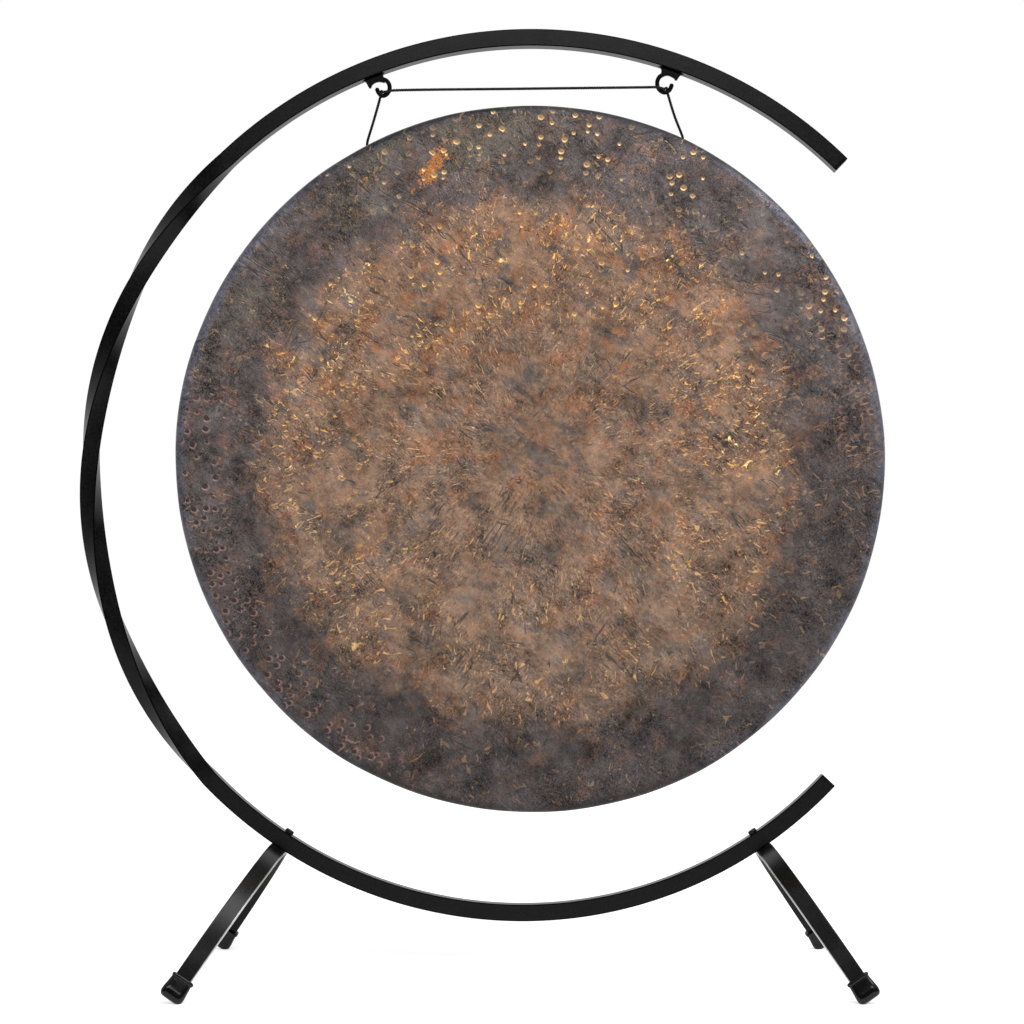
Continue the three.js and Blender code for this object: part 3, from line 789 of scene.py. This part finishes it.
class Finish(Nodes):
    """A material in the making."""

    def __init__(self, name, colour, roughness, **constants):
        self.material = bpy.data.materials.new(name)
        self.material.use_nodes = True
        super().__init__(self.material.node_tree)
        self.shader = self.tree.nodes["Principled BSDF"]
        self.join(self.shader, {"Base Color": (*colour, 1), "Roughness": roughness})
        self.wear(**constants)

    def wear(self, **values):
        self.join(self.shader, {key.replace("_", " "): value for key, value in values.items()})

    def places(self, middle=(0, 0, 0), turn=0, squeeze=(1, 1, 1)):
        """Object coordinates in metres, counted from a middle, turned about Y, and
        then squeezed along their own directions."""
        here = self.add("ShaderNodeTexCoord", out="Object")
        return self.add("ShaderNodeMapping", {"vector_type": "TEXTURE"}, {
            "Vector": here, "Location": middle, "Rotation": (0, turn, 0),
            "Scale": tuple(1 / v for v in squeeze)})

    def noise(self, places, scale, detail=3, roughness=0.5, distortion=0):
        return self.add("ShaderNodeTexNoise", {}, {
            "Vector": places, "Scale": scale, "Detail": detail, "Roughness": roughness,
            "Distortion": distortion}, "Fac")

    def cells(self, places, scale, out="Distance", scatter=1.0):
        """A random pattern of cells on a flat pair of coordinates."""
        return self.add("ShaderNodeTexVoronoi", {"voronoi_dimensions": "2D"},
                        {"Vector": places, "Scale": scale, "Randomness": scatter}, out)

    def tint(self, share, under, over):
        """One colour over another by a share."""
        under = under if isinstance(under, Value) else (*under, 1)
        over = over if isinstance(over, Value) else (*over, 1)
        return self.add("ShaderNodeMix", {"data_type": "RGBA"}, {0: share, 6: under, 7: over}, 2)

    def shade(self, colour, factor):
        """A colour made lighter or darker by a varying factor."""
        grey = self.add("ShaderNodeCombineColor", {}, {0: factor, 1: factor, 2: factor})
        return self.add("ShaderNodeMix", {"data_type": "RGBA", "blend_type": "MULTIPLY"},
                        {0: 1.0, 6: colour, 7: grey}, 2)

    def relief(self, height, distance, strength=1.0):
        bump = self.add("ShaderNodeBump", {}, {"Height": height, "Distance": distance, "Strength": strength})
        self.join(self.shader, {"Normal": bump})

    def cover(self, *covered):
        for piece in covered:
            piece.data.materials.clear()
            piece.data.materials.append(self.material)

# %% [markdown]
# The bar, the hooks and the legs are black. The bar and legs are powder coated:
# baked powder keeps a fine, even grain like orange peel. In a white studio the
# bar's rounded edges show as matt black lines and the legs' inner edges as bright
# ones, so these edges get a finish of their own that paints this light: painted
# shade along the bar's edges, a matt black with no shine, and a painted highlight
# along one inner edge of each leg, a stripe of bright metal. The hooks were
# dipped, so their coat is blacker and shines less. A real coat is never pure
# black.

# %% Black coats
def black_coat(name, tone, roughness, grain_size, **constants):
    """A black coat with a fine grain and slow clouds of shine."""
    coat = Finish(name, (tone, tone, tone * 1.04), roughness, **constants)
    here = coat.places()
    grain = coat.noise(here, grain_size, 2, 0.6)
    cloud = coat.noise(here, 30, 3)
    coat.wear(Base_Color=coat.tint(grain.between(0.3, 0.75), (tone * 0.2,) * 3, (tone * 2.6,) * 3),
              Roughness=roughness - 0.08 + 0.12 * cloud + 0.08 * grain)
    coat.relief(grain * 0.4 + coat.noise(here, 1300, 2), 0.00012, 0.3)
    return coat


def paint_light_on_edges(coat, share, **painted_edge):
    """A second shader along the edges that mark_edges marked, which paints light or shade there: shade on the
    bar's edges, a highlight on the legs'.
    """
    edge = coat.add("ShaderNodeAttribute", {"attribute_name": "edge"}, out="Fac")
    inputs = {key.replace("_", " "): value for key, value in painted_edge.items()}
    other = coat.add("ShaderNodeBsdfPrincipled", {}, inputs)
    main = Value(coat, coat.shader.outputs[0])
    mixed = coat.add("ShaderNodeMixShader", {}, {0: edge * share, 1: main, 2: other})
    coat.join(coat.tree.nodes["Material Output"], {"Surface": mixed})


bar_coat = black_coat("powder_coat_on_bar", 0.0014, 0.27, 330, Specular_IOR_Level=0.12)
# Painted shade: the bar's marked edges get a matt black with no shine, which draws them as dark lines.
paint_light_on_edges(bar_coat, 0.85, Base_Color=(0.001, 0.001, 0.001, 1), Roughness=0.9,
             Specular_IOR_Level=0.0)
leg_coat = black_coat("powder_coat_on_legs", 0.0022, 0.27, 480, Specular_IOR_Level=0.15)
# Painted highlight: a stripe of bright metal along the marked inner edge of each leg.
paint_light_on_edges(leg_coat, 0.7, Base_Color=(0.75, 0.75, 0.76, 1), Metallic=1.0, Roughness=0.35)
bar_coat.cover(bar)
leg_coat.cover(pieces["leg_left"], pieces["leg_right"])
dipped = black_coat("dipped_black_on_hooks", 0.0008, 0.27, 260, Specular_IOR_Level=0.05)
dipped.cover(pieces["hook_left"], pieces["hook_right"])

oxide = Finish("black_oxide_on_fasteners", (0.008, 0.008, 0.009), 0.4, Metallic=0.5, Specular_IOR_Level=0.2)
here = oxide.places()
worn = oxide.noise(here, 340, 4, 0.65).between(0.52, 0.72)
oxide.wear(Base_Color=oxide.tint(worn, (0.007, 0.007, 0.008), (0.03, 0.029, 0.028)),
           Roughness=0.36 + 0.18 * worn)
oxide.relief(oxide.noise(here, 1200, 2), 0.0002, 0.3)
oxide.cover(pieces["leg_bolt_left"], pieces["leg_bolt_right"])

# %% [markdown]
# Rubber is black right through and a little dusty, with a soft shine. The cord
# is twisted nylon: black, with fibres that stand up painted a faint purple-grey
# as its sheen, and its lay is already in the mesh, so the finish only adds fibres
# along the strands.

# %% Rubber and cord
rubber = Finish("rubber_on_feet", (0.002, 0.002, 0.0022), 0.25, Specular_IOR_Level=0.09,
                Coat_Weight=0.3, Coat_Roughness=0.07)
here = rubber.places()
dust = rubber.noise(here, 70, 4, 0.6).between(0.45, 0.75)
rubber.wear(Base_Color=rubber.tint(dust, (0.001, 0.001, 0.0011), (0.004, 0.004, 0.004)),
            Roughness=0.12 + 0.16 * dust)
rubber.relief(rubber.noise(here, 900, 3), 0.0003, 0.25)
rubber.cover(*(piece for name, piece in pieces.items() if name.startswith("foot")))

nylon = Finish("twisted_nylon_cord", (0.006, 0.005, 0.007), 0.6, Specular_IOR_Level=0.15)
# Fibres that stand up, painted lighter purple-grey as the cord's sheen.
fibre_and_sheen = nylon.noise(nylon.places(squeeze=(1, 1, 0.35)), 2600, 3, 0.6)
nylon.wear(Base_Color=nylon.tint(fibre_and_sheen.between(0.42, 0.72), (0.002, 0.0015, 0.002), (0.016, 0.013, 0.018)))
nylon.relief(fibre_and_sheen, 0.0003, 0.5)
nylon.cover(*cords.values(), *knots.values())

for name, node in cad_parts.items():
    if name.startswith(("leg_washer", "leg_nut")):
        node.material_slots[0].material = oxide.material

# %% [markdown]
# The gong's face is bronze that was heated, hammered and left with its scale on.
# The heart is warm brown, the outer ring is darker and greyer, and the very edge
# has a pale lavender bloom, made stronger towards the top and the sides as a
# painted highlight. Over that lie cloudy patches, a fine streaky grain, and bright
# specks where the hammer broke through to the metal, mostly in a ring two thirds
# of the way out; towards the top there are more of them, painted as glints of the
# light from above. Round dimples run along the edge at the top right, hollows
# whose pale gold fill and bright lower edge are painted light, and smaller ones
# higher in the ring get the same. Small pits run down the left and, fewer, at the
# right: hollows painted dark inside as shade, with a painted highlight on their
# lower right rim. Over all of this lie slow painted light and shade: lighter
# towards the top, a painted shadow towards the right and the bottom, and painted
# shade on the rim at the top and the bottom. Every one of these is a mask of its
# own.

# %% Zones of the face
bronze = Finish("hammered_bronze", (0.2, 0.13, 0.1), 0.45, Metallic=0.72)
middle = tuple(GONG_MIDDLE * MM)
solid = bronze.places(middle)
sideways = bronze.add("ShaderNodeSeparateXYZ", {}, {0: solid})
height = sideways.beside("Z")
radius = (sideways * sideways + height * height).math("SQRT")
from_middle = radius * 1000
wander = bronze.noise(solid, 11, 4, 0.6) - 0.5
ragged = bronze.noise(solid, 60, 4, 0.65) - 0.5
zone = from_middle + 120 * wander + 60 * ragged
heart = zone.between(332, 262)
ring = zone.between(130, 200) * zone.between(318, 285)
# The very edge, where the lavender bloom lies; painted highlight and painted shade are laid on it below.
rim_bloom_and_light = (from_middle + 14 * ragged).between(392, 402)
upward = height.between(-0.36, 0.3)
front = bronze.add("ShaderNodeAttribute", {"attribute_name": "front"}, out="Fac")
edge_band = from_middle.between(318, 346) * from_middle.between(402, 396) * front


# %% Patches and streaks
def far_off(seed, turn=0, squeeze=1):
    """The face's coordinates moved far along, so that no two masks line up."""
    return bronze.places((seed, seed * 0.7, -seed), turn, (1, 1, squeeze))


def streaky(seed, turn, scale, squeeze, detail=2, bend=0.4):
    return bronze.noise(far_off(seed, turn, squeeze), scale, detail, 0.55, bend)


cloud = bronze.noise(solid, 21, 6, 0.68)
blotch = bronze.noise(far_off(0.3, 0.6, 1.6), 75, 6, 0.72)
busy = bronze.noise(far_off(0.45), 17, 4, 0.6).between(0.38, 0.6)
which_way = bronze.noise(far_off(0.8), 45, 2).between(0.44, 0.56)
streaks = (streaky(1.1, 0.85, 260, 4.5) * which_way + streaky(1.7, -0.8, 250, 4.5) * (1 - which_way)) - 0.5
speckle = bronze.noise(solid, 620, 3, 0.7) - 0.5
rust = bronze.noise(far_off(2.1, -0.7, 1.7), 30, 7, 0.76, 0.3).between(0.5, 0.6)
slate = bronze.noise(far_off(2.9, 0.7, 1.7), 24, 6, 0.66, 0.3).between(0.5, 0.6)
tan = bronze.noise(far_off(3.3), 48, 6, 0.75, 0.5).between(0.54, 0.62)
olive = (height - 0.7 * sideways).between(0.3, 0.42) * edge_band * busy
glow_x, glow_z = (sideways - 0.55 * (height - 0.333) + 0.113) * 85, (height - 0.333) * 40
torn = bronze.noise(solid, 130, 5, 0.75) - 0.5
orange = ((glow_x * glow_x + glow_z * glow_z).math("SQRT") + 6 * torn).between(0.9, 0.6) * front

# %% Marks laid along the rim and across it
face_places = bronze.add("ShaderNodeCombineXYZ", {}, {0: sideways, 1: height})
RIM = 0.4  # the radius, in metres, at which an angle is turned into a distance
along_rim = height.math("ARCTAN2", sideways * -1.0) * RIM
rim_places = bronze.add("ShaderNodeCombineXYZ", {}, {0: along_rim, 1: radius})


def capped(mask):
    return mask.math("MINIMUM", 1.0)


def round_the_rim(shift, lean, squeeze):
    """Distance along the rim and out from the middle, moved, leaned over, and
    squeezed along the rim, so that marks point outwards."""
    return bronze.add("ShaderNodeMapping", {"vector_type": "TEXTURE"}, {
        "Vector": rim_places, "Location": (shift, shift / 3, 0), "Rotation": (0, 0, lean),
        "Scale": (1 / squeeze, 1, 1)})


def dashes(shift, lean, scale, squeeze, limit):
    """Short marks that point outwards: a drawn-out noise kept where it is high."""
    return bronze.noise(round_the_rim(shift, lean, squeeze), scale, 1, 0.5, 0.8).between(limit, limit + 0.03)


def scratches(seed, turn, scale, squeeze, width, limit):
    """Long curved lines: a drawn-out noise close to its middle value, in patches."""
    from_half = (bronze.noise(far_off(seed, turn, squeeze), scale, 2, 0.5) - 0.5).math("ABSOLUTE")
    line = from_half.between(width, width * 0.3)
    return line * bronze.noise(far_off(seed + 0.37), 16, 3, 0.6).between(limit, limit + 0.05)


pale = capped(
    dashes(1.3, 0.35, 62, 2.4, 0.7) + dashes(2.2, -0.5, 66, 2.4, 0.7)
    + dashes(3.1, 0.9, 58, 2.2, 0.71) + dashes(5.2, -1.1, 60, 2.2, 0.71))
dark = capped(
    scratches(6.1, 0.85, 15, 8, 0.024, 0.6) + scratches(6.9, -0.95, 14, 8, 0.022, 0.6)
    + scratches(7.7, 0.2, 13, 6, 0.02, 0.61) + scratches(4.3, 0.5, 9, 9, 0.014, 0.57)
    + dashes(8.4, 0.7, 36, 3.4, 0.72) + dashes(9.3, -0.6, 40, 3.4, 0.73))


# %% Round marks: dimples, pits and flakes of bare metal, with painted light and shade
def dots(places, scale, size, share, shift=(0, 0, 0)):
    """Round spots of uneven size in a share of the cells of a random pattern."""
    moved = bronze.add("ShaderNodeVectorMath", {"operation": "ADD"}, {0: places, 1: shift})
    colour = bronze.add("ShaderNodeSeparateColor", {}, {0: bronze.cells(moved, scale, "Color")})
    spread = colour.beside("Green") * (0.45 * size)
    spots = (bronze.cells(moved, scale) + spread).between(size, size * 0.6)
    return spots * colour.between(share, share + 0.01)


def crescents(places, scale, size, share, shift, fall=0.0013):
    """The spots, and what is left of each spot when the same spot, a little higher, is taken off: its lower
    edge, painted as lit from above.
    """
    spots = dots(places, scale, size, share, shift)
    return spots, spots * (1 - dots(places, scale, size, share, (shift[0], shift[1] - fall, 0)))


crowd = bronze.noise(far_off(0.2), 12, 2).between(0.45, 0.56)
lit_side = (height + 0.35 * sideways).between(0.17, 0.27) * (0.2 + 0.8 * crowd)
left_edge = sideways.between(-0.08, -0.2) * height.between(0.12, 0.05)
right_edge = sideways.between(0.3, 0.335) * height.between(0.24, 0.18) * height.between(-0.04, 0.05)
# Dimples along the lit upper right edge; their fill and lower edge are painted light.
dimple_and_lit_fill, dimple_painted_highlight = crescents(face_places, 74, 0.34, 0.52, (0.5, 0.8, 0))
dimple_and_lit_fill, dimple_painted_highlight = dimple_and_lit_fill * edge_band * lit_side, dimple_painted_highlight * edge_band * lit_side
# Smaller dimples higher in the ring, painted the same way.
inner_dimple_and_lit_fill, inner_painted_highlight = crescents(face_places, 64, 0.27, 0.68, (0.15, 0.45, 0), 0.0012)
inner_zone = ring * upward * front * (0.25 + 0.75 * bronze.noise(far_off(0.5), 20, 2).between(0.44, 0.6))
inner_dimple_and_lit_fill, inner_painted_highlight = inner_dimple_and_lit_fill * inner_zone, inner_painted_highlight * inner_zone
pit_zone = (from_middle + 30 * ragged).between(348, 362) * from_middle.between(404, 399) * front
pit_zone = pit_zone * capped(left_edge + 0.8 * right_edge)
# Pits: hollows in the relief, painted dark inside as shade.
pit_and_shade = dots(rim_places, 75, 0.34, 0.35, (0.31, 0.2, 0)) * pit_zone
# A painted highlight on each pit's lower right rim.
painted_pit_highlight = dots(rim_places, 75, 0.42, 0.35, (0.3112, 0.2014, 0)) * pit_zone * (1 - pit_and_shade)
clump = bronze.noise(far_off(0.6), 24, 3, 0.6).between(0.54, 0.66)
flake = bronze.noise(far_off(0.9, 0.5, 1.5), 210, 3, 0.6, 0.7)
splash = bronze.noise(far_off(1.4, -0.4, 1.3), 70, 5, 0.72, 1.0).between(0.63, 0.66)
splash = splash * clump.between(0.0, 0.4)
flash = bronze.noise(far_off(1.9, 0.4, 1.2), 52, 6, 0.8, 0.8).between(0.612, 0.632)
flash = flash * capped(0.1 + clump)
gold_and_glint = capped(
    flake.between(0.62, 0.66) * clump * 0.8 + splash + flash
    + dashes(11.0, 0.5, 105, 1.7, 0.7) * busy + dashes(12.3, -0.8, 100, 1.7, 0.7) * busy)
# More specks towards the top, painted as glints of the light from above, and the inner dimples' painted
# highlights are added in.
gold_and_glint = capped(gold_and_glint * (0.1 + ring) * (0.2 + 0.8 * upward) * (0.15 + 0.85 * front) + inner_painted_highlight)

# %% The face's colour with painted light and shade, its shine and relief
tone = bronze.tint(heart, (0.09, 0.074, 0.073), (0.25, 0.15, 0.1))
tone = bronze.tint(rust * (0.25 + 0.55 * heart), tone, (0.3, 0.122, 0.053))
tone = bronze.tint(slate * (0.55 + 0.3 * (1 - busy)), tone, (0.108, 0.093, 0.089))
tone = bronze.tint(tan * heart * 0.5, tone, (0.34, 0.225, 0.14))
tone = bronze.tint(heart * (1 - upward) * 0.45, tone, (0.2, 0.15, 0.118))
tone = bronze.tint(olive * 0.5, tone, (0.085, 0.076, 0.05))
# The lavender bloom, made stronger towards the top and the sides as a painted highlight.
lit_flank = (sideways * sideways).between(0.01, 0.1)
tone = bronze.tint(rim_bloom_and_light * (0.12 + 0.3 * upward + 0.4 * lit_flank), tone, (0.135, 0.135, 0.175))
# Painted shade on the rim at the top and the bottom.
rim_shade = rim_bloom_and_light * (height * height).between(0.06, 0.14)
light = (0.86 + (2.9 - 0.6 * heart) * (cloud - 0.5) + 1.9 * (blotch - 0.5)
         + (1.0 + 1.4 * busy) * streaks + (0.9 + 1.5 * busy + edge_band) * speckle)
# Painted shadow towards the right and the bottom, less in the heart.
shadow_side = (0.25 * sideways - height).between(-0.1, 0.22) * (1 - 0.6 * heart)
core = from_middle.between(285, 150) * heart
# Slow painted light and shade: lighter towards the top, the heart's middle darker at its top and lighter at
# its bottom, less the painted shadow and the rim's painted shade.
slow_light = (0.94 + 0.05 * upward + core * (0.24 - 0.5 * upward) - 0.28 * shadow_side
              - (0.3 + 0.52 * upward) * rim_shade)
tone = bronze.shade(tone, light * slow_light)
tone = bronze.tint(orange * (0.5 + 3 * speckle), tone, (0.6, 0.19, 0.018))
tone = bronze.tint(dark * 0.78, tone, (0.036, 0.031, 0.03))
tone = bronze.tint(pale * (0.25 + 0.55 * heart) * (0.2 + 0.8 * busy), tone, (0.6, 0.36, 0.16))
# Painted light: the dimples' pale gold fill, then their bright lower edge as a painted highlight.
tone = bronze.tint(capped(dimple_and_lit_fill * 0.5 + inner_dimple_and_lit_fill * 0.45), tone, (0.42, 0.25, 0.11))
tone = bronze.tint(dimple_painted_highlight * 0.85, tone, (0.9, 0.58, 0.24))
# Painted shade inside the pits, and the painted highlight on their rims.
tone = bronze.tint(pit_and_shade * 0.85, tone, (0.032, 0.019, 0.018))
tone = bronze.tint(painted_pit_highlight * 0.5, tone, (0.34, 0.2, 0.17))
# The bare-metal specks, with their painted glints.
tone = bronze.tint(gold_and_glint, tone, (1.0, 0.5, 0.1))
tone = bronze.tint(gold_and_glint * capped(splash + flash), tone, (1.0, 0.78, 0.34))
bronze.wear(Base_Color=tone, Roughness=0.5 - 0.2 * gold_and_glint + 0.2 * (blotch - 0.5) - 0.1 * pale)
bronze.relief(0.9 * blotch + 0.5 * streaks + 0.25 * speckle + 0.5 * pale - 0.6 * dark - 1.2 * pit_and_shade
              - 0.6 * dimple_and_lit_fill - 0.5 * inner_dimple_and_lit_fill, 0.0016, 0.6)
bronze.cover(disc)

# %% [markdown]
# The picture was taken in a white studio and cut out, so the floor and the
# background are white. The light is soft and comes mostly from above the
# camera. Behind the stand everything is white, which is what the bar's inner
# faces reflect, and towards the camera the room is darker, which is why the
# bar's front is nearly black.

# %% The floor
FLOOR_REACH = 9


def add_floor():
    """A wide white floor that glows a little for the camera and in reflections."""
    mesh = bpy.data.meshes.new("floor")
    mesh.from_pydata([(x * FLOOR_REACH, y * FLOOR_REACH, 0) for x, y in ((-1, -1), (1, -1), (1, 1), (-1, 1))],
                     [], [(0, 1, 2, 3)])
    floor = bpy.data.objects.new("floor", mesh)
    bpy.context.scene.collection.objects.link(floor)
    paint = Finish("pale_floor", (0.86, 0.86, 0.86), 0.9)
    here = paint.places()
    paint.wear(Base_Color=paint.tint(paint.noise(here, 3, 2), (0.85, 0.85, 0.85), (0.88, 0.88, 0.88)))
    path = paint.add("ShaderNodeLightPath", out="Is Camera Ray")
    seen = (path + path.beside("Is Glossy Ray") + path.beside("Is Transmission Ray")).math("MINIMUM", 1.0)
    glow = paint.add("ShaderNodeEmission", {}, {"Color": (1, 1, 1, 1), "Strength": seen * 0.5})
    both = paint.add("ShaderNodeAddShader", {}, {0: Value(paint, paint.shader.outputs[0]), 1: glow})
    paint.join(paint.tree.nodes["Material Output"], {"Surface": both})
    paint.cover(floor)


add_floor()

# %% The light
def add_lamp(name, place, aim, size, watts):
    """A softbox that faces the point it is aimed at."""
    lamp = bpy.data.lights.new(name, "AREA")
    lamp.shape = "RECTANGLE"
    lamp.size, lamp.size_y = size
    lamp.energy = watts
    lamp_object = bpy.data.objects.new(name, lamp)
    way = np.array(aim, float) - np.array(place, float)
    turn = math.atan2(way[0], -way[1])
    tilt = math.atan2(math.hypot(way[0], way[1]), -way[2])
    lamp_object.location = place
    lamp_object.rotation_euler = (tilt, 0, math.pi + turn)
    bpy.context.scene.collection.objects.link(lamp_object)


add_lamp("softbox_overhead", (0.85, -1.25, 2.95), (0.05, 0, 0.6), (2.3, 1.3), 92)
add_lamp("softbox_front", (0.12, -3.3, 2.0), (0.05, 0, 0.9), (1.5, 0.5), 18)


def white_studio():
    """White for the camera and in reflections from behind and above, darker for
    reflections from the camera's side, and a plain level for everything else."""
    world = bpy.data.worlds.new("studio")
    world.use_nodes = True
    bpy.context.scene.world = world
    sky = Nodes(world.node_tree)
    background = sky.tree.nodes["Background"]
    way = sky.add("ShaderNodeTexCoord", out="Generated")
    parts = sky.add("ShaderNodeSeparateXYZ", {}, {0: way})
    backward, upward = parts.beside("Y"), parts.beside("Z")
    room = 0.15 + 0.85 * (backward + 0.8 * upward).between(-0.5, 0.45)
    path = sky.add("ShaderNodeLightPath", out="Is Camera Ray")
    glossy, through = path.beside("Is Glossy Ray"), path.beside("Is Transmission Ray")
    level = path + through + glossy * room
    plain = 1 - (path + through + glossy).math("MINIMUM", 1.0)
    strength = level.math("MINIMUM", 1.0) + plain * 0.62
    sky.join(background, {"Color": (1, 1, 1, 1), "Strength": strength})


white_studio()
bpy.context.scene.view_settings.view_transform = "Standard"
